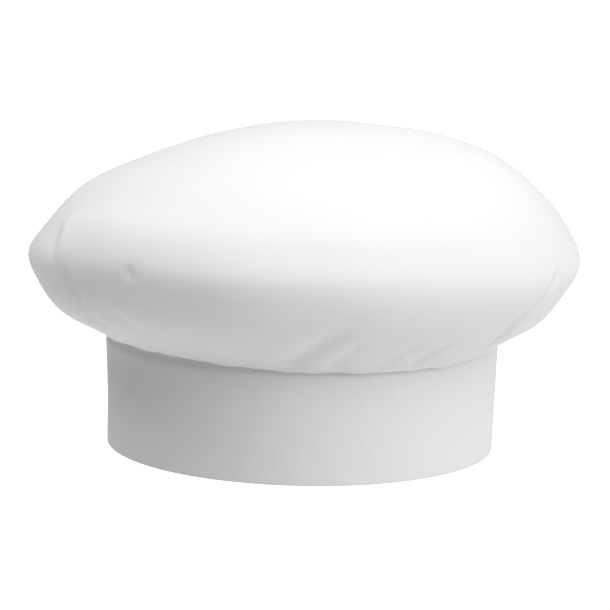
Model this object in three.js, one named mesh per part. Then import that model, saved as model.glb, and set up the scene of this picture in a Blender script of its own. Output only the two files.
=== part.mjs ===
// A soft white chef hat: a puffed crown of thin cloth, gathered into a tall plain band.
// Millimetres, +Z up. The hat stands on the band's lower edge at z = 0, with the wearer's face towards -Y.
// Azimuths are degrees about +Z: 0 is the wearer's left side (+X), 90 the back, 180 their right side and
// 270 the front.
import * as THREE from "three";

// Driving dimensions
const BAND_HEIGHT = 57;
const BAND_FOOT_RADIUS = 95; // outer radius at the lower edge
const BAND_TOP_RADIUS = 96.5; // outer radius at the upper edge
const BAND_WALL = 2; // two layers of cloth over an interlining
const CROWN_WALL = 1.2;
const CROWN_HEIGHT = 157.8; // top of the hat
const CROWN_TOP_X = 8; // the highest point sits a little to the +X side
const SEAM_GAP = 0.3; // between the crown's gathered edge and the band
const SEAM_INSET = 1.2; // from the band's outer face in to the crown's seam line
const ROLL_RISE = 2.1; // the cloth rolls this far over the band's upper edge before it droops
const EDGE_OUT = 1.2; // how far it stands out from the band beside that edge
const DROOP_OUT = 1.6; // and at its lowest point
const BAND_WAIST = 0.5; // how far the band draws in halfway up, on its -X side

// The band is one strip, its outer end lapped over the inner one at the back.
const LAP_AZIMUTH = 97;
const LAP_LENGTH = 30;
const LAP_STEP = 1.2;
const LAP_RAMP = 26; // the step fades out over this length
const LAP_GAP = 0.3; // degrees either side of the step, where the strip's end stands clear of itself
const LAP_COVER = { from: 9, to: 22 }; // the crown's cloth slopes down past the step between these distances

// Facets
const CROWN_COLUMNS = 112;
const CROWN_STEPS = 17;
const BAND_COLUMNS = 96;
const BAND_ROWS = 2;
const SEAM_STATIONS = [0, 0.6, 1.2, 2]; // rings over the roll, below the evenly spaced ones
const FOLD_STEPS = 8;

// The crown's outline at eight azimuths, from the seam up: how low the cloth droops over the band,
// then the radius and height of each station.
const SECTIONS = [
  { azimuth: 0, droop: 51.5,
    under: [104.5, 58.8], belly: [116.3, 66.8], side: [126.5, 78.7], ridge: [134.6, 95.5],
    cheek: [126.3, 110.9], shoulder: [110.8, 127.3], slope: [89.8, 141.9], cap: [51.5, 153.7] },
  { azimuth: 45, droop: 52.0,
    under: [104.6, 59.3], belly: [117.7, 67.3], side: [127.5, 79.2], ridge: [134.5, 94.5],
    cheek: [126.6, 110.4], shoulder: [111.8, 126.6], slope: [89.0, 141.4], cap: [50.8, 153.0] },
  { azimuth: 90, droop: 52.5,
    under: [104.8, 59.8], belly: [118.7, 66.8], side: [128.5, 78.2], ridge: [134.4, 93.0],
    cheek: [126.3, 108.9], shoulder: [111.9, 126.6], slope: [88.5, 141.8], cap: [50.8, 153.0] },
  { azimuth: 135, droop: 52.5,
    under: [105.0, 60.0], belly: [119.7, 66.7], side: [128.7, 77.0], ridge: [134.4, 91.2],
    cheek: [125.8, 107.2], shoulder: [111.5, 125.8], slope: [87.8, 139.8], cap: [51.5, 151.5] },
  { azimuth: 180, droop: 53.0,
    under: [105.0, 60.0], belly: [120.6, 66.6], side: [128.5, 76.2], ridge: [134.4, 91.0],
    cheek: [125.1, 106.9], shoulder: [110.8, 124.9], slope: [86.9, 138.0], cap: [51.6, 150.2] },
  { azimuth: 225, droop: 54.0,
    under: [104.8, 60.8], belly: [120.1, 68.3], side: [128.7, 78.2], ridge: [134.4, 92.6],
    cheek: [126.3, 108.5], shoulder: [112.2, 126.4], slope: [88.6, 140.7], cap: [50.8, 152.1] },
  { azimuth: 270, droop: 54.5,
    under: [104.4, 61.2], belly: [119.3, 68.8], side: [128.9, 80.0], ridge: [134.4, 94.2],
    cheek: [126.7, 109.9], shoulder: [112.8, 127.2], slope: [89.4, 142.0], cap: [50.6, 153.2] },
  { azimuth: 315, droop: 53.5,
    under: [104.2, 60.3], belly: [118.1, 68.3], side: [127.7, 80.2], ridge: [134.4, 95.3],
    cheek: [126.6, 110.9], shoulder: [111.7, 127.1], slope: [89.3, 141.8], cap: [51.0, 153.2] },
];
const STATIONS = ["seam", "roll", "edge", "droop", "under", "belly", "side", "ridge",
  "cheek", "shoulder", "slope", "cap", "top"];
const station = (name) => STATIONS.indexOf(name);

// Folds and creases: each runs over the cloth between two places, given as an azimuth and a station.
// depth sinks the line of the fold, lean lifts the cloth on its left-hand side and sinks its right.
const FOLDS = [
  { name: "right temple notch", from: [203, 8.6], to: [211, 6.4], width: 8, depth: 2.2, lean: 1.6 },
  { name: "right temple fold", from: [215, 7.2], to: [225, 4.4], width: 7, depth: 1.6, lean: 1.8 },
  { name: "right front dimple", from: [234.5, 7.5], to: [236, 7.0], width: 6, depth: 1.9, lean: 0.6 },
  { name: "front fold", from: [269, 4.1], to: [283, 6.1], width: 7, depth: 1.9, lean: 1.4 },
  { name: "second front fold", from: [280, 4.2], to: [288, 5.6], width: 6, depth: 1.1, lean: 0.9 },
  { name: "third front fold", from: [291, 4.1], to: [301, 5.6], width: 7, depth: 1.4, lean: 1.0 },
  { name: "left temple crease", from: [332, 7.6], to: [314, 4.2], width: 9, depth: 3.2, lean: 3.4 },
  { name: "left ear fold", from: [12, 4.2], to: [2, 6.6], width: 8, depth: 1.7, lean: 1.4 },
  { name: "left back crease", from: [38, 4.2], to: [52, 7.4], width: 9, depth: 2.6, lean: 2.4 },
  { name: "back fold", from: [84, 4.2], to: [72, 6.3], width: 8, depth: 1.9, lean: -1.5 },
  { name: "second back fold", from: [104, 4.1], to: [112, 6.0], width: 7, depth: 1.6, lean: 1.4 },
  { name: "right back crease", from: [142, 4.3], to: [128, 7.5], width: 9, depth: 2.6, lean: -2.4 },
  { name: "right ear fold", from: [168, 4.2], to: [176, 6.2], width: 7, depth: 1.5, lean: 1.3 },
];

// Gathers along the seam: rows of waves in the cloth that fade out above the droop.
const GATHERS = [
  { count: 24, depth: 0.8, phase: 40 },
  { count: 17, depth: 0.6, phase: 110 },
  { count: 9, depth: 0.5, phase: 250 },
];
const GATHER_FADE = 2.4; // in stations above the droop

const radians = THREE.MathUtils.degToRad;
const lerp = THREE.MathUtils.lerp;
const smoothstep = THREE.MathUtils.smoothstep;

// Cubic through four evenly spaced values, from b to c.
function cubic(a, b, c, d, t) {
  return b + 0.5 * t * (c - a + t * (2 * a - 5 * b + 4 * c - d + t * (3 * (b - c) + d - a)));
}

// Distance round the band from the edge of its outer end, negative on the lapped side.
function pastLap(azimuth) {
  return radians(((azimuth - LAP_AZIMUTH + 540) % 360) - 180) * BAND_TOP_RADIUS;
}

// How far the band's outer face stands out where its outer end laps over the inner one.
function lapStep(azimuth) {
  const along = pastLap(azimuth);
  return along > 0 ? 0 : LAP_STEP * smoothstep(along, -LAP_LENGTH - LAP_RAMP, -LAP_LENGTH);
}

// The crown's cloth passes over the lap's edge in a soft slope.
function lapCover(azimuth) {
  const along = pastLap(azimuth);
  return along > 0 ? LAP_STEP * (1 - smoothstep(along, LAP_COVER.from, LAP_COVER.to)) : lapStep(azimuth);
}

function bandRadius(azimuth, z) {
  const flare = lerp(BAND_FOOT_RADIUS, BAND_TOP_RADIUS, z / BAND_HEIGHT);
  const towardsRight = (1 - Math.cos(radians(azimuth))) / 2;
  return flare - BAND_WAIST * Math.sin((Math.PI * z) / BAND_HEIGHT) * towardsRight;
}

// The outline's stations at any azimuth, as [radius, height] pairs.
function outlineAt(azimuth) {
  const count = SECTIONS.length;
  const place = (((azimuth % 360) + 360) % 360) * (count / 360);
  const row = Math.floor(place);
  const rows = [-1, 0, 1, 2].map((k) => SECTIONS[(row + k + count) % count]);
  const between = (get) => cubic(...rows.map(get), place - row);
  const wall = BAND_TOP_RADIUS + lapCover(azimuth);
  const seam = BAND_TOP_RADIUS - SEAM_INSET;
  const droop = between((r) => r.droop);
  const fixed = [
    [seam, BAND_HEIGHT + SEAM_GAP],
    [(seam + wall + DROOP_OUT) / 2, BAND_HEIGHT + ROLL_RISE],
    [wall + EDGE_OUT, BAND_HEIGHT],
    [wall + DROOP_OUT, droop],
  ];
  const free = STATIONS.slice(station("under"), station("top"));
  const named = free.map((name) => [between((r) => r[name][0]), between((r) => r[name][1])]);
  return [...fixed, ...named, [0, CROWN_HEIGHT]];
}

// A point of the smooth crown, before folds, at an azimuth and a station that may lie between two.
function smoothPoint(azimuth, at) {
  const outline = outlineAt(azimuth);
  const last = outline.length - 1;
  const k = Math.min(Math.floor(at), last - 1);
  const before = outline[k - 1] ?? [outline[0][0], outline[0][1] - 1];
  const after = outline[k + 2] ?? [-outline[last - 1][0], outline[last - 1][1]];
  const [radius, z] = hermite(before, outline[k], outline[k + 1], after, at - k);
  const offset = CROWN_TOP_X * smoothstep(at, station("ridge"), last);
  const angle = radians(azimuth);
  return new THREE.Vector3(radius * Math.cos(angle) + offset, radius * Math.sin(angle), z);
}

// A curve from b to c whose slopes allow for uneven spacing of the four points.
function hermite(a, b, c, d, t) {
  const gap = (p, q) => Math.max(Math.hypot(p[0] - q[0], p[1] - q[1]), 1e-6);
  const [ab, bc, cd] = [gap(a, b), gap(b, c), gap(c, d)];
  return [0, 1].map((i) => {
    const slopes = [(b[i] - a[i]) / ab, (c[i] - b[i]) / bc, (d[i] - c[i]) / cd];
    const out = (bc * slopes[0] + ab * slopes[1]) / (ab + bc);
    const into = (cd * slopes[1] + bc * slopes[2]) / (bc + cd);
    const rise = c[i] - b[i];
    return b[i] + bc * t * (out + t * (3 * rise / bc - 2 * out - into + t * (out + into - 2 * rise / bc)));
  });
}

// Each fold as a row of points over the smooth crown.
const foldLines = FOLDS.map((fold) => {
  const points = [];
  for (let i = 0; i <= FOLD_STEPS; i++) {
    const share = i / FOLD_STEPS;
    points.push(smoothPoint(lerp(fold.from[0], fold.to[0], share), lerp(fold.from[1], fold.to[1], share)));
  }
  return { ...fold, points };
});

// How far the folds lift a point of the cloth, along its normal.
function foldLift(point, normal) {
  let lift = 0;
  for (const fold of foldLines) {
    let nearest = Infinity;
    let signed = 0;
    let share = 0;
    fold.points.slice(1).forEach((end, i) => {
      const start = fold.points[i];
      const run = end.clone().sub(start);
      const away = point.clone().sub(start);
      const t = THREE.MathUtils.clamp(away.dot(run) / run.lengthSq(), 0, 1);
      away.addScaledVector(run, -t);
      if (away.length() < nearest) {
        nearest = away.length();
        signed = Math.sign(run.clone().cross(away).dot(normal)) * nearest;
        share = (i + t) / FOLD_STEPS;
      }
    });
    const across = Math.exp(-((nearest / fold.width) ** 2));
    const along = 0.35 + 0.65 * Math.sin(Math.PI * share);
    lift += along * across * ((fold.lean * signed) / fold.width - fold.depth);
  }
  return lift;
}

function gatherLift(azimuth, at) {
  const droop = station("droop");
  const fade = at < droop ? smoothstep(at, station("edge"), droop) : 1 - smoothstep(at, droop, droop + GATHER_FADE);
  let wave = 0;
  for (const g of GATHERS) wave += g.depth * (0.5 + 0.5 * Math.sin(radians(g.count * azimuth + g.phase)));
  return fade * wave;
}

// Crown: a grid of columns round the hat and rings from the seam to the top, given a wall of cloth.
function crownGeometry() {
  const last = STATIONS.length - 1;
  const stations = [...SEAM_STATIONS];
  for (let i = 0; i <= CROWN_STEPS; i++) stations.push(lerp(station("droop"), last, i / CROWN_STEPS));
  stations.pop();
  const rings = stations.length;
  const grid = stations.map((at) => {
    const ring = [];
    for (let c = 0; c < CROWN_COLUMNS; c++) ring.push(smoothPoint((360 * c) / CROWN_COLUMNS, at));
    return ring;
  });
  const top = new THREE.Vector3(CROWN_TOP_X, 0, CROWN_HEIGHT);
  const outwardAt = (c) => {
    const angle = radians((360 * c) / CROWN_COLUMNS);
    return new THREE.Vector3(Math.cos(angle), Math.sin(angle), 0);
  };
  // The cloth's own normal, but level at the seam, so that its cut edge lies flat over the band.
  const normalAt = (r, c) => {
    if (r === 0) return outwardAt(c);
    const ring = grid[r];
    const round = ring[(c + 1) % CROWN_COLUMNS].clone().sub(ring[(c + CROWN_COLUMNS - 1) % CROWN_COLUMNS]);
    const up = (grid[r + 1]?.[c] ?? top).clone().sub(grid[r - 1][c]);
    return round.cross(up).normalize();
  };
  const lifted = grid.map((ring, r) => ring.map((p, c) => {
    const normal = normalAt(r, c);
    const fromSeam = smoothstep(stations[r], station("edge"), station("under"));
    const gather = outwardAt(c).lerp(normal, fromSeam).normalize();
    gather.multiplyScalar(gatherLift((360 * c) / CROWN_COLUMNS, stations[r]));
    return p.clone().add(gather).addScaledVector(normal, fromSeam * foldLift(p, normal));
  }));
  lifted.forEach((ring, r) => ring.forEach((p, c) => grid[r][c].copy(p)));

  const vertices = [];
  for (const side of [1, -1]) {
    grid.forEach((ring, r) => ring.forEach((p, c) => {
      const q = p.clone().addScaledVector(normalAt(r, c), (side * CROWN_WALL) / 2);
      vertices.push(q.x, q.y, q.z);
    }));
    vertices.push(top.x, top.y, top.z + (side * CROWN_WALL) / 2);
  }
  const inner = rings * CROWN_COLUMNS + 1;
  const faces = [];
  for (let c = 0; c < CROWN_COLUMNS; c++) {
    const next = (c + 1) % CROWN_COLUMNS;
    for (let r = 0; r < rings - 1; r++) {
      const [a, b] = [r * CROWN_COLUMNS + c, r * CROWN_COLUMNS + next];
      const [d, e] = [a + CROWN_COLUMNS, b + CROWN_COLUMNS];
      faces.push(a, b, e, a, e, d);
      faces.push(inner + a, inner + e, inner + b, inner + a, inner + d, inner + e);
    }
    const [a, b] = [(rings - 1) * CROWN_COLUMNS + c, (rings - 1) * CROWN_COLUMNS + next];
    faces.push(a, b, inner - 1);
    faces.push(inner + a, inner + inner - 1, inner + b);
    faces.push(c, inner + c, inner + next, c, inner + next, next);
  }
  return meshOf(vertices, faces);
}

// Band: an upright ring of columns with a flat lower and upper edge.
function bandGeometry() {
  const vertices = [];
  const start = LAP_AZIMUTH + LAP_GAP;
  for (let c = 0; c < BAND_COLUMNS; c++) {
    const azimuth = start + ((360 - 2 * LAP_GAP) * c) / (BAND_COLUMNS - 1);
    const angle = radians(azimuth);
    for (let row = 0; row <= BAND_ROWS; row++) {
      const z = (BAND_HEIGHT * row) / BAND_ROWS;
      const outer = bandRadius(azimuth, z) + lapStep(azimuth);
      const inner = bandRadius(azimuth, z) - BAND_WALL;
      vertices.push(outer * Math.cos(angle), outer * Math.sin(angle), z);
      vertices.push(inner * Math.cos(angle), inner * Math.sin(angle), z);
    }
  }
  const per = 2 * (BAND_ROWS + 1);
  const faces = [];
  const quad = (a, b, c, d) => faces.push(a, b, c, a, c, d);
  for (let c = 0; c < BAND_COLUMNS; c++) {
    const here = c * per;
    const next = ((c + 1) % BAND_COLUMNS) * per;
    for (let row = 0; row < BAND_ROWS; row++) {
      const k = 2 * row;
      quad(here + k, next + k, next + k + 2, here + k + 2);
      quad(here + k + 1, here + k + 3, next + k + 3, next + k + 1);
    }
    quad(here, here + 1, next + 1, next);
    quad(here + per - 2, next + per - 2, next + per - 1, here + per - 1);
  }
  return meshOf(vertices, faces);
}

function meshOf(vertices, faces) {
  const geometry = new THREE.BufferGeometry();
  geometry.setAttribute("position", new THREE.Float32BufferAttribute(vertices, 3));
  geometry.setIndex(faces);
  geometry.computeVertexNormals();
  return geometry;
}

const crownCloth = new THREE.MeshStandardMaterial({ color: 0xf4f4f3, roughness: 0.85, metalness: 0 });
const bandCloth = new THREE.MeshStandardMaterial({ color: 0xefefee, roughness: 0.9, metalness: 0 });

const crown = new THREE.Mesh(crownGeometry(), crownCloth);
crown.name = "crown";
const band = new THREE.Mesh(bandGeometry(), bandCloth);
band.name = "band";

const hat = new THREE.Group();
hat.add(crown, band);

export default hat;
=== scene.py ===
# A soft white chef hat on a plain pale floor: a puffed crown of thin cloth gathered into an upright band.
# Metres, +Z up. The band's lower edge stands on the floor at z = 0, and the wearer's face is towards -Y.
# Azimuths are degrees about +Z: 0 is the wearer's left, 90 the back, 180 their right and 270 the front.
import math

import bmesh
import bpy
import numpy as np
from mathutils import Matrix, Vector, noise


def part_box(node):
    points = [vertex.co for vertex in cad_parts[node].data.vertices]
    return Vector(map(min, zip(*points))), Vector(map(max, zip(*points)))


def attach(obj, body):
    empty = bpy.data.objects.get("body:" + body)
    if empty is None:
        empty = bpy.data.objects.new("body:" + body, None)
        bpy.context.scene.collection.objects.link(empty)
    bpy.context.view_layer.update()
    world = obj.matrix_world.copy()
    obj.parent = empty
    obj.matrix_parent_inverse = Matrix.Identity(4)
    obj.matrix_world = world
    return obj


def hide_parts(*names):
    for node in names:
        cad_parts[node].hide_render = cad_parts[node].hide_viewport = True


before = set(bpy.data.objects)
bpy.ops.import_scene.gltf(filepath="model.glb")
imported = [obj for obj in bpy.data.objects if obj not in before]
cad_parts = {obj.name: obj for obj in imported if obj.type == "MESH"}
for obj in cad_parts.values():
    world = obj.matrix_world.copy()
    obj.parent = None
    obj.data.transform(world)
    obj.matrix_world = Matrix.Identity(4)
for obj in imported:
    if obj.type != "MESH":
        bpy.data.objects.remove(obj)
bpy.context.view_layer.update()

MM = 0.001
FRONT = 270  # azimuth
WHITE = (1, 1, 1, 1)
TINY = 1e-9  # keeps a division away from 0

# Sizes taken from the frame
band_low, band_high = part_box("band")
crown_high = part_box("crown")[1]
CAD_CROWN_WALL = 1.2 * MM
BAND_HEIGHT = band_high.z
BAND_TOP_RADIUS = -band_low.x
CROWN_HEIGHT = crown_high.z - CAD_CROWN_WALL / 2  # to the middle of the CAD wall, as the outlines below

# The band: a strip of cloth, rolled up and lapped at the back
BAND_CLOTH = 1.2 * MM
BAND_FLARE = 1.5 * MM  # its foot's radius is smaller by this
BAND_WAIST = 0.5 * MM  # it draws in by this half-way up, on the wearer's right
SEAM_PULL = 1.3 * MM  # the gathers pull its upper edge in by this
SEAM_PULL_REACH = (6.5 * MM, 2 * MM)  # below the upper edge, where the pull begins and where it is full
LAP_AZIMUTH = 97  # of the edge of the outer end
LAP_LENGTH = 30 * MM
LAP_RAMP = 26 * MM  # the outer end rises over this length before it laps the inner one
LAP_GAP = 0.15 * MM
LAP_COVER = (9 * MM, 22 * MM)  # past the lap's edge, where the crown's cloth starts down and where it is down

# The crown at the seam: its hem inside the band, the roll over the band's upper edge and the droop outside
CROWN_CLOTH = 0.5 * MM
CROWN_TOP_X = 8 * MM  # the top leans this far to the wearer's left
HEM_DEPTH = 9 * MM  # below the band's upper edge
HEM_INSET = 2.4 * MM  # from the band's inner face
ROLL_OUT = 0.4 * MM  # from half-way between the hem and the band's outer face
ROLL_RISE = 1.7 * MM  # above the band, or above the droop by this and ROLL_CLEAR where that is higher
ROLL_CLEAR = 1.5 * MM
DROOP_OUT = 1.9 * MM  # from the band's outer face
LIP_SHARE = 0.22  # how far the cloth's sharp lower edge reaches towards the straight cloth above it

# The crown's outline at evenly spaced azimuths, in millimetres, from the seam up: the height down to which
# the cloth droops over the band, then the radius and height of each station.
SECTIONS = [
    {"azimuth": 0, "droop": 58.2,
     "under": (104.8, 60.6), "belly": (116.3, 66.8), "side": (126.3, 79.2), "ridge": (134.2, 95.5),
     "cheek": (126.3, 110.9), "shoulder": (110.8, 127.3), "slope": (89.8, 141.9), "cap": (51.5, 153.7)},
    {"azimuth": 45, "droop": 55.5,
     "under": (104.8, 59.6), "belly": (117.7, 67.0), "side": (127.5, 79.2), "ridge": (134.4, 94.5),
     "cheek": (126.6, 110.4), "shoulder": (111.8, 126.6), "slope": (89.0, 141.4), "cap": (50.8, 153.0)},
    {"azimuth": 90, "droop": 54.0,
     "under": (105.0, 58.8), "belly": (118.7, 66.6), "side": (128.5, 78.2), "ridge": (134.4, 93.0),
     "cheek": (126.3, 108.9), "shoulder": (111.9, 126.6), "slope": (88.5, 141.8), "cap": (50.8, 153.0)},
    {"azimuth": 135, "droop": 55.5,
     "under": (105.2, 59.8), "belly": (119.7, 66.8), "side": (128.7, 77.0), "ridge": (134.4, 91.2),
     "cheek": (125.8, 107.2), "shoulder": (111.5, 125.8), "slope": (87.8, 139.8), "cap": (51.5, 151.5)},
    {"azimuth": 180, "droop": 57.2,
     "under": (105.2, 60.3), "belly": (120.2, 67.4), "side": (128.0, 77.2), "ridge": (134.1, 91.6),
     "cheek": (125.1, 106.9), "shoulder": (110.8, 124.9), "slope": (86.9, 138.0), "cap": (51.6, 150.2)},
    {"azimuth": 225, "droop": 57.4,
     "under": (106.0, 61.8), "belly": (119.6, 70.6), "side": (129.8, 82.6), "ridge": (134.6, 98.6),
     "cheek": (129.2, 113.4), "shoulder": (112.8, 127.2), "slope": (88.6, 140.7), "cap": (50.8, 152.1)},
    {"azimuth": 270, "droop": 54.5,
     "under": (106.8, 60.8), "belly": (119.2, 70.2), "side": (129.0, 80.6), "ridge": (134.5, 96.2),
     "cheek": (128.2, 111.2), "shoulder": (113.0, 127.4), "slope": (89.4, 142.0), "cap": (50.6, 153.2)},
    {"azimuth": 315, "droop": 54.2,
     "under": (106.4, 60.2), "belly": (118.2, 68.8), "side": (127.9, 79.6), "ridge": (134.4, 94.8),
     "cheek": (126.6, 110.9), "shoulder": (111.7, 127.1), "slope": (89.3, 141.8), "cap": (51.0, 153.2)},
]
STATIONS = ["hem", "seam", "roll", "droop", "lip", "under", "belly", "side", "ridge",
            "cheek", "shoulder", "slope", "cap", "top"]
ROLL, DROOP, UNDER, RIDGE, TOP = (STATIONS.index(name)
                                  for name in ("roll", "droop", "under", "ridge", "top"))

# Folds: each runs over the cloth along a path of azimuths and stations. In millimetres, depth sinks the
# cloth within width of the path, and lap lifts it on the path's left-hand side and sinks it on the right,
# or the other way round where it is negative, changing over within edge. Over slides the lifted side across
# the path, so that it hangs over the other. Rise and fall are the shares of the path over which the fold
# comes and goes.
FOLDS = [
    {"name": "right temple notch",
     "width": 9, "depth": -0.3, "lap": 1.7, "edge": 3.4, "rise": 0.2, "fall": 0.5,
     "path": ((205.5, 9.3), (208.5, 9.0), (211, 8.7), (212, 8.36), (212, 8.0), (209.5, 7.6))},
    {"name": "right temple fold",
     "width": 8, "depth": 0.4, "lap": 1.3, "edge": 1.8, "rise": 0.3, "fall": 0.15,
     "path": ((217, 8.05), (218.3, 7.7), (219.7, 7.3), (220.5, 6.7), (221, 6.2), (221, 5.6))},
    {"name": "right front dimple",
     "width": 2.6, "depth": 1.3, "rise": 0.3, "fall": 0.4,
     "path": ((234.5, 8.15), (235.5, 7.95), (236.8, 7.65))},
    {"name": "right front tuck",
     "width": 5, "depth": 0.7, "rise": 0.4, "fall": 0.3,
     "path": ((224, 6.85), (228, 6.5), (231.5, 6.1), (230, 5.2))},
    {"name": "front fold",
     "width": 8, "depth": 1.0, "lap": -1.6, "edge": 3.4, "rise": 0.05, "fall": 0.6,
     "path": ((267.5, 3.6), (271.5, 5.1), (274, 5.65), (277, 6.15), (280, 6.6), (284, 6.95), (288, 7.0))},
    {"name": "second front fold",
     "width": 5, "depth": 0.4, "lap": -0.5, "edge": 2.4, "rise": 0.05, "fall": 0.7,
     "path": ((277.5, 3.6), (280.5, 5.2), (283, 6.0), (286, 6.5))},
    {"name": "third front fold",
     "width": 5, "depth": 0.3, "lap": -0.5, "edge": 2.4, "rise": 0.05, "fall": 0.7,
     "path": ((290, 3.6), (293.5, 5.2), (297, 5.8), (301, 6.2))},
    {"name": "fourth front fold",
     "width": 6, "depth": 0.5, "lap": -0.8, "edge": 2.4, "rise": 0.05, "fall": 0.7,
     "path": ((299.5, 3.6), (303, 5.2), (306, 5.9), (310, 6.4))},
    {"name": "left temple dent",
     "width": 5, "depth": 3.6, "lap": -3.2, "edge": 1.8, "over": 3.6, "rise": 0.35, "fall": 0.25,
     "path": ((331.5, 8.4), (329.5, 8.05), (327, 7.8), (325.8, 7.45), (323, 7.1))},
    {"name": "left temple crease",
     "width": 6, "depth": 2.4, "lap": -2.8, "edge": 1.9, "over": 2.4, "rise": 0.2, "fall": 0.25,
     "path": ((325.5, 7.4), (321.8, 7.0), (319.4, 6.5), (318.9, 6.0), (319.6, 5.4), (321, 4.8),
               (321.5, 4.2))},
    {"name": "left ear fold",
     "width": 8, "depth": 1.0, "lap": 1.2, "edge": 4, "rise": 0.15, "fall": 0.6,
     "path": ((12, 5.0), (8, 6.0), (2, 7.6))},
    {"name": "left back crease",
     "width": 9, "depth": 1.4, "lap": 2.2, "edge": 3, "rise": 0.1, "fall": 0.5,
     "path": ((38, 5.0), (43, 6.2), (48, 7.4), (52, 8.4))},
    {"name": "back fold",
     "width": 8, "depth": 1.1, "lap": -1.2, "edge": 4, "rise": 0.15, "fall": 0.6,
     "path": ((84, 5.0), (79, 6.0), (72, 7.3))},
    {"name": "second back fold",
     "width": 7, "depth": 0.9, "lap": 1.1, "edge": 3, "rise": 0.15, "fall": 0.6,
     "path": ((104, 4.9), (107, 5.8), (112, 7.0))},
    {"name": "right back crease",
     "width": 9, "depth": 1.4, "lap": -2.2, "edge": 3, "rise": 0.1, "fall": 0.5,
     "path": ((142, 5.1), (138, 6.2), (133, 7.4), (128, 8.5))},
    {"name": "right ear fold",
     "width": 7, "depth": 0.9, "lap": 1.1, "edge": 3, "rise": 0.15, "fall": 0.6,
     "path": ((168, 5.0), (171, 6.0), (176, 7.2))},
]
FOLD_STEPS = 10  # straight steps between two places of a fold's path

# Waves round the hat, in millimetres: gathers that push the cloth out above the droop, and the uneven
# lower edge of the droop.
GATHERS = [
    {"count": 23, "depth": 0.30, "phase": 40},
    {"count": 31, "depth": 0.24, "phase": 110},
    {"count": 44, "depth": 0.18, "phase": 250},
    {"count": 61, "depth": 0.12, "phase": 15},
]
GATHER_FADE = 1.6  # stations above the droop
DROOP_WAVES = [
    {"count": 17, "depth": 0.35, "phase": 200},
    {"count": 29, "depth": 0.28, "phase": 75},
    {"count": 41, "depth": 0.20, "phase": 320},
]
DROOP_FADE = 2.5  # stations above the droop
# Soft unevenness of the crown: how wide and how deep the swells are, in millimetres.
SWELLS = [
    {"width": 70, "depth": 0.9},
    {"width": 42, "depth": 0.7},
    {"width": 28, "depth": 0.25},
]

# Mesh counts
CROWN_PANELS = 60
CROWN_STEPS = [2] + 11 * [1]  # stations from one ring to the next
CROWN_CUTS = 7  # between panels, and between rings
BAND_CUTS = 19  # along the strip, then as many again in each of its lengths
BAND_ROW_CUTS = 35  # from the lower edge to the upper
MOST_OF = 0.8  # an edge longer than this share of a run is one that runs along it
BAND_EDGE = 0.45 * MM  # the strip's edges are rounded by this
BAND_EDGE_SEGMENTS = 3
MEASURE_STEPS = 12  # from one station to the next, to measure the cloth's length
MERGE_GAP = 0.02 * MM

# Cloth: the weave's height is a base, the roundness of its threads and their passing over one another
FLAT_OFFSET = 0.5  # moves a cloth's flat pattern, in metres, into the middle of its UV square
WEAVE_BASE = 0.25
WEAVE_ROUND = 0.25
WEAVE_OVER = 0.35
PATCH_SCALE = 28  # faint patches of colour to a metre
CLOTH_ROUGHNESS = 0.86
WEAVE_SHINE = 0.08  # the raised threads are smoother by this
CLOTH_LOOK = {"Specular IOR Level": 0.3, "Sheen Weight": 0.1, "Sheen Roughness": 0.5}

# Floor: it glows, so that the picture's ground is plain white
FLOOR_SIZE = 60  # reaches past the picture's top
FLOOR_LOOK = {"Base Color": (0.93, 0.93, 0.93, 1), "Roughness": 0.9, "Specular IOR Level": 0.1,
              "Emission Color": WHITE, "Emission Strength": 1.0}

# Round lights, facing the camera's target. Power is in watts.
LIGHT_SIZE = 1.0
LIGHT_DISTANCE = 1.6
LIGHTS = [
    {"name": "front", "azimuth": 285, "height": 45, "power": 9.6},
    {"name": "low_left", "azimuth": 330, "height": 15, "power": 4.5},
    {"name": "upper_right", "azimuth": 180, "height": 62, "power": 13.7},
]
# The surround's strength: all round, more from below as over a white table and most on the wearer's right
# there, and more from the wearer's left, most of it from above.
SURROUND = {"all_round": 0.057, "below": 0.812, "below_right": 0.415, "left": 0.6}

# Camera: where it looks, how far away and how high it stands, and how far the picture is turned
CAMERA_TARGET = Vector((0, 0, 0.075))
CAMERA_DISTANCE = 1.0798
CAMERA_RISE = math.radians(8.83)
CAMERA_ROLL = math.radians(1.41)
CAMERA_LENS = 129.8  # millimetres, as the sensor
CAMERA_SENSOR = 36
CAMERA_SHIFT = (0.0031, -0.0231)


def smoothstep(x, low, high):
    """Goes softly from 0 at low to 1 at high."""
    t = np.clip((x - low) / (high - low), 0, 1)
    return t * t * (3 - 2 * t)


# Modelling in edit mode

def select_none():
    """Leaves nothing selected, so that the next operator acts on the new piece alone."""
    if bpy.context.mode != "OBJECT":
        bpy.ops.object.mode_set(mode="OBJECT")
    bpy.ops.object.select_all(action="DESELECT")


def start_piece(name):
    """Names the primitive that was just added and goes into edit mode."""
    piece = bpy.context.object
    piece.name = name
    piece.data.name = name
    bpy.ops.object.mode_set(mode="EDIT")
    return piece


def select_edges(piece, test):
    """Selects the piece's edges that pass the test on their two ends, in edit mode."""
    bpy.ops.mesh.select_mode(type="EDGE")
    bpy.ops.mesh.select_all(action="DESELECT")
    mesh = bmesh.from_edit_mesh(piece.data)
    for edge in mesh.edges:
        edge.select_set(test(edge.verts[0].co, edge.verts[1].co))
    bmesh.update_edit_mesh(piece.data)


def places(piece):
    """The piece's vertices as rows of x, y and z."""
    flat = np.empty(3 * len(piece.data.vertices))
    piece.data.vertices.foreach_get("co", flat)
    return flat.reshape(-1, 3)


def move_to(piece, points):
    """Puts the piece's vertices at these points."""
    piece.data.vertices.foreach_set("co", points.astype(np.float32).ravel())
    piece.data.update()


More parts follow.
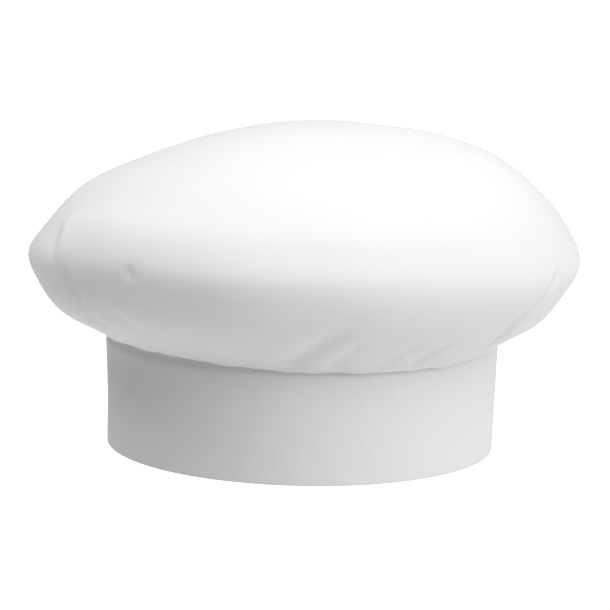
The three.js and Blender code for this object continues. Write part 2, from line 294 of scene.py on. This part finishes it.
def set_uv(piece, flat):
    """Lays the piece's UV map out as the cloth's flat pattern, in metres."""
    layer = piece.data.uv_layers.active or piece.data.uv_layers.new()
    layer.name = "flat_pattern"
    corners = np.empty(len(piece.data.loops), dtype=np.int32)
    piece.data.loops.foreach_get("vertex_index", corners)
    layer.data.foreach_set("uv", (flat[corners] + FLAT_OFFSET).astype(np.float32).ravel())


def thicken(piece, thickness):
    """Gives a sheet its thickness, inwards from the face that shows."""
    bpy.ops.object.modifier_add(type="SOLIDIFY")
    wall = piece.modifiers[-1]
    wall.thickness = thickness
    wall.offset = -1
    bpy.ops.object.modifier_apply(modifier=wall.name)


# The band's shape

def along_from_lap(azimuth):
    """Distance round the band from the edge of its outer end, negative on the lapped side."""
    return np.radians((azimuth - LAP_AZIMUTH + 540) % 360 - 180) * BAND_TOP_RADIUS


def lap_cover(azimuth):
    """How far the crown's cloth stands out where it passes over the band's lap."""
    along = along_from_lap(azimuth)
    before = smoothstep(along, -LAP_LENGTH - LAP_RAMP, -LAP_LENGTH)
    after = 1 - smoothstep(along, *LAP_COVER)
    return BAND_CLOTH * np.where(along > 0, after, before)


def band_radius(azimuth, z):
    """Outer radius of the band, without its lap."""
    share = z / BAND_HEIGHT
    towards_right = (1 - np.cos(np.radians(azimuth))) / 2
    waist = BAND_WAIST * np.sin(np.pi * share) * towards_right
    pulled = SEAM_PULL * smoothstep(z - BAND_HEIGHT, -SEAM_PULL_REACH[0], -SEAM_PULL_REACH[1])
    return BAND_TOP_RADIUS - BAND_FLARE * (1 - share) - waist - pulled


# The crown's shape

def outline_at(azimuth):
    """The radius and height of every station, for each azimuth: azimuths by stations by two."""
    count = len(SECTIONS)
    place = azimuth % 360 / (SECTIONS[1]["azimuth"] - SECTIONS[0]["azimuth"])
    row = np.floor(place).astype(int)
    t = place - row

    def between(values):
        a, b, c, d = (values[(row + k) % count] for k in (-1, 0, 1, 2))
        return b + 0.5 * t * (c - a + t * (2 * a - 5 * b + 4 * c - d + t * (3 * (b - c) + d - a)))

    wall = BAND_TOP_RADIUS + lap_cover(azimuth)
    inside = np.full_like(azimuth, BAND_TOP_RADIUS - BAND_CLOTH - HEM_INSET)
    top = np.full_like(azimuth, BAND_HEIGHT)
    droop = between(np.array([s["droop"] for s in SECTIONS])) * MM
    rest = {name: [between(np.array([s[name][i] for s in SECTIONS])) * MM for i in (0, 1)]
            for name in STATIONS[UNDER:TOP]}
    out, up = rest["under"]
    stations = [
        (inside, top - HEM_DEPTH),
        (inside, top),
        ((inside + wall) / 2 + ROLL_OUT, np.maximum(top, droop + ROLL_CLEAR) + ROLL_RISE),
        (wall + DROOP_OUT, droop),
        (wall + DROOP_OUT + LIP_SHARE * (out - wall - DROOP_OUT), droop + LIP_SHARE * (up - droop)),
    ]
    stations += rest.values()
    stations.append((np.zeros_like(azimuth), np.full_like(azimuth, CROWN_HEIGHT)))
    return np.stack([np.stack(s, axis=-1) for s in stations], axis=1)


def smooth_crown(azimuth, at):
    """Points of the crown before its folds, at azimuths and stations that may lie between two."""
    outline = outline_at(azimuth)
    k = np.clip(np.floor(at).astype(int), 0, TOP - 1)
    t = (at - k)[:, None]
    rows = np.arange(len(at))
    b, c = outline[rows, k], outline[rows, k + 1]
    below_hem = outline[:, 0] - (0, 1 * MM)
    past_top = outline[:, TOP - 1] * (-1, 1)
    a = np.where((k > 0)[:, None], outline[rows, k - 1], below_hem)
    d = np.where((k < TOP - 1)[:, None], outline[rows, np.minimum(k + 2, TOP)], past_top)

    def gap(p, q):
        return np.maximum(np.linalg.norm(p - q, axis=1), TINY)[:, None]

    ab, bc, cd = gap(a, b), gap(b, c), gap(c, d)
    first, middle, last = (b - a) / ab, (c - b) / bc, (d - c) / cd
    out = (bc * first + ab * middle) / (ab + bc)
    into = (cd * middle + bc * last) / (bc + cd)
    p = b + bc * t * (out + t * (3 * middle - 2 * out - into + t * (out + into - 2 * middle)))
    offset = CROWN_TOP_X * smoothstep(at, RIDGE, TOP)
    angle = np.radians(azimuth)
    return np.stack([p[:, 0] * np.cos(angle) + offset, p[:, 0] * np.sin(angle), p[:, 1]], axis=1)


def crown_normals(azimuth, at):
    """Outward unit normals of the smooth crown, from its slope between the places beside each point."""
    turn, rise = 0.4, 0.03  # degrees and stations
    near = np.minimum(at, TOP - rise)
    around = smooth_crown(azimuth + turn, near) - smooth_crown(azimuth - turn, near)
    up = smooth_crown(azimuth, near + rise) - smooth_crown(azimuth, np.maximum(near - rise, 0))
    normal = np.cross(around, up)
    return normal / np.linalg.norm(normal, axis=1)[:, None]


def fold_shift(fold, points, normals):
    """How one fold moves each point: in or out along its normal, and over the fold's line where it laps."""
    corners = np.array(fold["path"], dtype=float)
    steps = np.linspace(0, len(corners) - 1, (len(corners) - 1) * FOLD_STEPS + 1)
    azimuth, at = (np.interp(steps, range(len(corners)), corners[:, i]) for i in (0, 1))
    line = smooth_crown(azimuth, at)
    nearest = np.full(len(points), np.inf)
    signed = np.zeros(len(points))
    share = np.zeros(len(points))
    along = np.zeros_like(points)
    for i in range(len(line) - 1):
        run = line[i + 1] - line[i]
        away = points - line[i]
        t = np.clip(away @ run / (run @ run), 0, 1)
        away = away - t[:, None] * run
        distance = np.linalg.norm(away, axis=1)
        side = np.sign(np.einsum("ij,ij->i", np.cross(run, away), normals))
        closer = distance < nearest
        nearest = np.where(closer, distance, nearest)
        signed = np.where(closer, side * distance, signed)
        share = np.where(closer, (i + t) / (len(line) - 1), share)
        along[closer] = run / np.linalg.norm(run)
    lap, edge, over = fold.get("lap", 0), fold.get("edge", 1), fold.get("over", 0)
    across = signed / MM
    envelope = np.exp(-(across / fold["width"]) ** 2) * MM
    envelope *= smoothstep(share, 0, fold["rise"]) * (1 - smoothstep(share, 1 - fold["fall"], 1))
    lift = envelope * (lap * np.tanh(across / edge) - fold["depth"])
    way = np.sign(lap)
    slide = envelope * -way * over * (0.5 + 0.5 * np.tanh(way * across / edge))
    return normals * lift[:, None] + np.cross(normals, along) * slide[:, None]


def waves(azimuth, table):
    """A row of waves round the hat, from 0 up."""
    total = np.zeros_like(azimuth)
    for wave in table:
        turned = np.radians(wave["count"] * azimuth + wave["phase"])
        total += wave["depth"] * MM * (0.5 + 0.5 * np.sin(turned))
    return total


def swells(points):
    """Soft unevenness of the cloth."""
    total = np.zeros(len(points))
    for swell in SWELLS:
        scaled = points / (swell["width"] * MM)
        total += swell["depth"] * MM * np.array([noise.noise(Vector(p)) for p in scaled])
    return total


def crown_points(azimuth, at):
    """Points of the crown's outer face, with its folds, gathers and drooping edge."""
    points = smooth_crown(azimuth, at)
    normals = crown_normals(azimuth, at)
    angle = np.radians(azimuth)
    level = np.stack([np.cos(angle), np.sin(angle), np.zeros_like(angle)], axis=1)
    from_seam = smoothstep(at, ROLL, UNDER)[:, None]
    past_roll = smoothstep(at, ROLL, DROOP)
    rise = np.where(at < DROOP, past_roll, 1 - smoothstep(at, DROOP, DROOP + GATHER_FADE))
    outward = level * (1 - from_seam) + normals * from_seam
    outward /= np.linalg.norm(outward, axis=1)[:, None]
    folded = sum(fold_shift(fold, points, normals) for fold in FOLDS) + normals * swells(points)[:, None]
    lowest = past_roll * (1 - smoothstep(at, DROOP, DROOP + DROOP_FADE))
    moved = points + outward * (rise * waves(azimuth, GATHERS))[:, None] + from_seam * folded
    moved[:, 2] -= lowest * waves(azimuth, DROOP_WAVES)
    return moved + normals * (CAD_CROWN_WALL / 2 * past_roll)[:, None]


def length_from_top(at):
    """Length of cloth from the top of the crown down to a station, at the front."""
    stations = np.linspace(0, TOP, MEASURE_STEPS * TOP + 1)
    line = smooth_crown(np.full_like(stations, FRONT), stations)
    run = np.concatenate([[0], np.cumsum(np.linalg.norm(np.diff(line, axis=0), axis=1))])
    return np.interp(at, stations, run[-1] - run)


def make_crown():
    """The crown: a ring of cloth drawn up by its stations, cut finer, shaped and given its thickness."""
    select_none()
    bpy.ops.mesh.primitive_circle_add(vertices=CROWN_PANELS, radius=BAND_TOP_RADIUS, fill_type="NOTHING")
    crown = start_piece("puffed_crown")
    bpy.ops.mesh.select_all(action="SELECT")
    for step in CROWN_STEPS:
        bpy.ops.mesh.extrude_region_move(TRANSFORM_OT_translate={"value": (0, 0, step)})
    bpy.ops.mesh.select_all(action="SELECT")
    bpy.ops.mesh.subdivide(number_cuts=CROWN_CUTS)
    bpy.ops.object.mode_set(mode="OBJECT")
    rough = places(crown)
    azimuth = np.degrees(np.arctan2(rough[:, 1], rough[:, 0])) % 360
    at = np.clip(rough[:, 2], 0, TOP)
    move_to(crown, crown_points(azimuth, at))
    angle = np.radians(azimuth)
    set_uv(crown, length_from_top(at)[:, None] * np.stack([np.cos(angle), np.sin(angle)], axis=1))
    bpy.ops.object.mode_set(mode="EDIT")
    bpy.ops.mesh.select_all(action="SELECT")
    bpy.ops.mesh.remove_doubles(threshold=MERGE_GAP)
    bpy.ops.mesh.normals_make_consistent(inside=False)
    bpy.ops.object.mode_set(mode="OBJECT")
    thicken(crown, CROWN_CLOTH)
    bpy.ops.object.shade_smooth()
    return crown


def make_band():
    """The band, from a flat strip with folded edges that is rolled into a ring and lapped at the back."""
    lap_turn = math.degrees(LAP_LENGTH / BAND_TOP_RADIUS)
    length = math.radians(360 + lap_turn) * BAND_TOP_RADIUS
    select_none()
    bpy.ops.mesh.primitive_cube_add(size=1, location=(length / 2, 0, BAND_HEIGHT / 2),
                                    scale=(length, BAND_CLOTH, BAND_HEIGHT))
    bpy.ops.object.transform_apply(location=True, rotation=False, scale=True)
    band = start_piece("upright_band")
    bpy.ops.mesh.select_all(action="SELECT")
    bpy.ops.mesh.bevel(offset=BAND_EDGE, segments=BAND_EDGE_SEGMENTS)
    select_edges(band, lambda a, b: abs(a.z - b.z) > BAND_HEIGHT / 2)
    bpy.ops.mesh.subdivide(number_cuts=BAND_ROW_CUTS)
    for run in (length, length / (BAND_CUTS + 1)):
        select_edges(band, lambda a, b: abs(a.x - b.x) > MOST_OF * run)
        bpy.ops.mesh.subdivide(number_cuts=BAND_CUTS)
    bpy.ops.object.mode_set(mode="OBJECT")
    flat = places(band)
    set_uv(band, np.stack([flat[:, 0] - length / 2, flat[:, 2] + flat[:, 1]], axis=1))
    move_to(band, roll_up(flat, LAP_AZIMUTH - lap_turn, length))
    bpy.ops.object.shade_smooth()
    return band


def roll_up(flat, start, length):
    """Rolls a flat strip into the band: x runs round it from the start azimuth, y inwards and z up."""
    run, inwards, z = flat.T
    azimuth = start + np.degrees(run / BAND_TOP_RADIUS)
    lap = smoothstep(run, length - LAP_LENGTH - LAP_RAMP, length - LAP_LENGTH)
    radius = band_radius(azimuth, z) + lap * (BAND_CLOTH + LAP_GAP) - BAND_CLOTH / 2 - inwards
    angle = np.radians(azimuth)
    return np.stack([radius * np.cos(angle), radius * np.sin(angle), z], axis=1)


# Materials

def new_material(name):
    """A new material, with its node tree and its shader."""
    material = bpy.data.materials.new(name)
    material.use_nodes = True
    tree = material.node_tree
    return material, tree, tree.nodes["Principled BSDF"]


def set_look(shader, look):
    """Sets the shader's inputs that stay the same all over."""
    for key, value in look.items():
        shader.inputs[key].default_value = value


def node(tree, kind, values=None, **settings):
    """Adds a node, sets its own settings, then its inputs, which are values or other nodes' outputs."""
    made = tree.nodes.new(kind)
    for key, value in settings.items():
        setattr(made, key, value)
    for key, value in (values or {}).items():
        socket = made.inputs[key]
        if isinstance(value, bpy.types.NodeSocket):
            tree.links.new(value, socket)
        else:
            socket.default_value = value
    return made


def calc(tree, operation, first, second=0.0, third=0.0):
    """One step of arithmetic on numbers or other nodes' outputs."""
    made = node(tree, "ShaderNodeMath", {0: first, 1: second, 2: third}, operation=operation)
    return made.outputs[0]


def plain_weave(tree, pitch):
    """The flat pattern and a plain weave's height on it: each thread passes over one and under the next."""
    uv = node(tree, "ShaderNodeUVMap", uv_map="flat_pattern").outputs["UV"]
    split = node(tree, "ShaderNodeSeparateXYZ", {"Vector": uv}).outputs
    across, along = (calc(tree, "MULTIPLY", split[axis], math.pi / pitch) for axis in (0, 1))
    warp = calc(tree, "ABSOLUTE", calc(tree, "SINE", across))
    weft = calc(tree, "ABSOLUTE", calc(tree, "SINE", along))
    over = calc(tree, "MULTIPLY", calc(tree, "COSINE", across), calc(tree, "COSINE", along))
    threads = calc(tree, "MULTIPLY_ADD", calc(tree, "ADD", warp, weft), WEAVE_ROUND, WEAVE_BASE)
    return uv, calc(tree, "MULTIPLY_ADD", over, WEAVE_OVER, threads)


def slubs(tree, uv, width, length, turned):
    """Uneven thickness of the threads that run one way: noise drawn out along them."""
    scale = (1 / length, 1 / width, 1) if turned else (1 / width, 1 / length, 1)
    mapped = node(tree, "ShaderNodeMapping", {"Vector": uv, "Scale": scale}).outputs[0]
    return node(tree, "ShaderNodeTexNoise", {"Vector": mapped, "Scale": 1, "Detail": 2, "Roughness": 0.6},
                noise_dimensions="2D").outputs["Fac"]


def cloth(name, color, pitch, weave_depth, slub_width, slub_length, slub_depth, tint_and_weave_shade):
    """A woven white cloth. Depths are in metres. The last argument is how much its colour varies: at random
    over patches and threads, and with the weave's height, a painted shade that darkens the hollows between
    the threads and lightens the raised ones.
    """
    material, tree, shader = new_material(name)
    uv, weave = plain_weave(tree, pitch)
    threads = calc(tree, "ADD", slubs(tree, uv, slub_width, slub_length, False),
                   slubs(tree, uv, slub_width, slub_length, True))
    patches = node(tree, "ShaderNodeTexNoise", {"Vector": uv, "Scale": PATCH_SCALE, "Detail": 3},
                   noise_dimensions="2D").outputs["Fac"]
    # Patches and threads come to 1.5 on average, and the weave to about a half
    shade = calc(tree, "MULTIPLY_ADD", patches, tint_and_weave_shade, 1 - 1.5 * tint_and_weave_shade)
    shade = calc(tree, "MULTIPLY_ADD", threads, tint_and_weave_shade, shade)
    # Painted shade: the weave's height darkens the colour in the hollows between the threads and lightens the
    # raised threads
    shade = calc(tree, "MULTIPLY_ADD", weave, tint_and_weave_shade, calc(tree, "SUBTRACT", shade, tint_and_weave_shade / 2))
    grey = node(tree, "ShaderNodeCombineXYZ", {axis: calc(tree, "MULTIPLY", shade, value)
                                               for axis, value in enumerate(color)})
    height = calc(tree, "MULTIPLY_ADD", weave, weave_depth, calc(tree, "MULTIPLY", threads, slub_depth))
    bump = node(tree, "ShaderNodeBump", {"Height": height, "Distance": 1.0, "Strength": 1.0})
    rough = calc(tree, "MULTIPLY_ADD", weave, -WEAVE_SHINE, CLOTH_ROUGHNESS)
    tree.links.new(grey.outputs[0], shader.inputs["Base Color"])
    tree.links.new(bump.outputs[0], shader.inputs["Normal"])
    tree.links.new(rough, shader.inputs["Roughness"])
    set_look(shader, CLOTH_LOOK)
    return material


def make_floor():
    """The floor. It neither lights nor shades the hat, which the surround lights from below in its place."""
    select_none()
    bpy.ops.mesh.primitive_plane_add(size=FLOOR_SIZE)
    floor = bpy.context.object
    floor.name = "floor"
    paint, _, shader = new_material("floor_paint")
    set_look(shader, FLOOR_LOOK)
    floor.data.materials.append(paint)
    floor.visible_diffuse = False
    floor.visible_shadow = False


# Light and camera

def toward(azimuth, height):
    """The direction of a place at this azimuth and this many degrees up."""
    azimuth, height = math.radians(azimuth), math.radians(height)
    level = math.cos(height)
    return Vector((math.cos(azimuth) * level, math.sin(azimuth) * level, math.sin(height)))


def add_light(light):
    """Hangs a round light and turns it to the camera's target."""
    data = bpy.data.lights.new(light["name"], "AREA")
    data.shape = "DISK"
    data.size = LIGHT_SIZE
    data.energy = light["power"]
    lamp = bpy.data.objects.new(light["name"], data)
    bpy.context.scene.collection.objects.link(lamp)
    away = toward(light["azimuth"], light["height"])
    lamp.location = CAMERA_TARGET + away * LIGHT_DISTANCE
    lamp.rotation_euler = away.to_track_quat("Z", "Y").to_euler()


def light_world():
    """A white surround, plain white where the camera sees it."""
    world = bpy.data.worlds.new("surround")
    world.use_nodes = True
    bpy.context.scene.world = world
    tree = world.node_tree
    direction = node(tree, "ShaderNodeSeparateXYZ", {
        "Vector": node(tree, "ShaderNodeTexCoord").outputs["Generated"]}).outputs
    below = calc(tree, "MAXIMUM", calc(tree, "MULTIPLY", direction["Z"], -1.0), 0.0)
    left = calc(tree, "MAXIMUM", direction["X"], 0.0)
    from_below = calc(tree, "MULTIPLY_ADD", direction["X"], -SURROUND["below_right"], SURROUND["below"])
    from_left = calc(tree, "MULTIPLY_ADD", direction["Z"], SURROUND["left"], SURROUND["left"])
    level = calc(tree, "MULTIPLY_ADD", left, from_left, SURROUND["all_round"])
    level = calc(tree, "MULTIPLY_ADD", below, from_below, level)
    seen = node(tree, "ShaderNodeLightPath").outputs["Is Camera Ray"]
    background = tree.nodes["Background"]
    background.inputs["Color"].default_value = WHITE
    tree.links.new(calc(tree, "MAXIMUM", level, seen), background.inputs["Strength"])


def add_camera():
    """The camera at the photograph's place."""
    rise, roll = CAMERA_RISE, CAMERA_ROLL
    forward = Vector((0, math.cos(rise), -math.sin(rise)))
    right, up = Vector((1, 0, 0)), Vector((0, math.sin(rise), math.cos(rise)))
    turned_right = math.cos(roll) * right + math.sin(roll) * up
    turned_up = math.cos(roll) * up - math.sin(roll) * right
    data = bpy.data.cameras.new("camera")
    data.lens = CAMERA_LENS
    data.sensor_width = CAMERA_SENSOR
    data.shift_x, data.shift_y = CAMERA_SHIFT
    camera = bpy.data.objects.new("camera", data)
    bpy.context.scene.collection.objects.link(camera)
    place = Matrix((turned_right, turned_up, -forward)).transposed().to_4x4()
    place.translation = CAMERA_TARGET - CAMERA_DISTANCE * forward
    camera.matrix_world = place
    bpy.context.scene.camera = camera


bpy.context.scene.view_settings.view_transform = "Standard"
add_camera()
for light in LIGHTS:
    add_light(light)
light_world()
make_floor()

crown = make_crown()
crown.data.materials.append(cloth(
    "crown_poplin", color=(0.93, 0.93, 0.932), pitch=0.42 * MM, weave_depth=0.03 * MM, slub_width=0.8 * MM,
    slub_length=14 * MM, slub_depth=0.03 * MM, tint_and_weave_shade=0.01))
band = make_band()
band.data.materials.append(cloth(
    "band_canvas", color=(0.9, 0.9, 0.9), pitch=0.55 * MM, weave_depth=0.06 * MM, slub_width=1.1 * MM,
    slub_length=9 * MM, slub_depth=0.08 * MM, tint_and_weave_shade=0.02))

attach(crown, "root")
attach(band, "root")
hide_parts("crown")
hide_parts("band")

crown_cut = float(length_from_top(np.array([0.0]))[0])
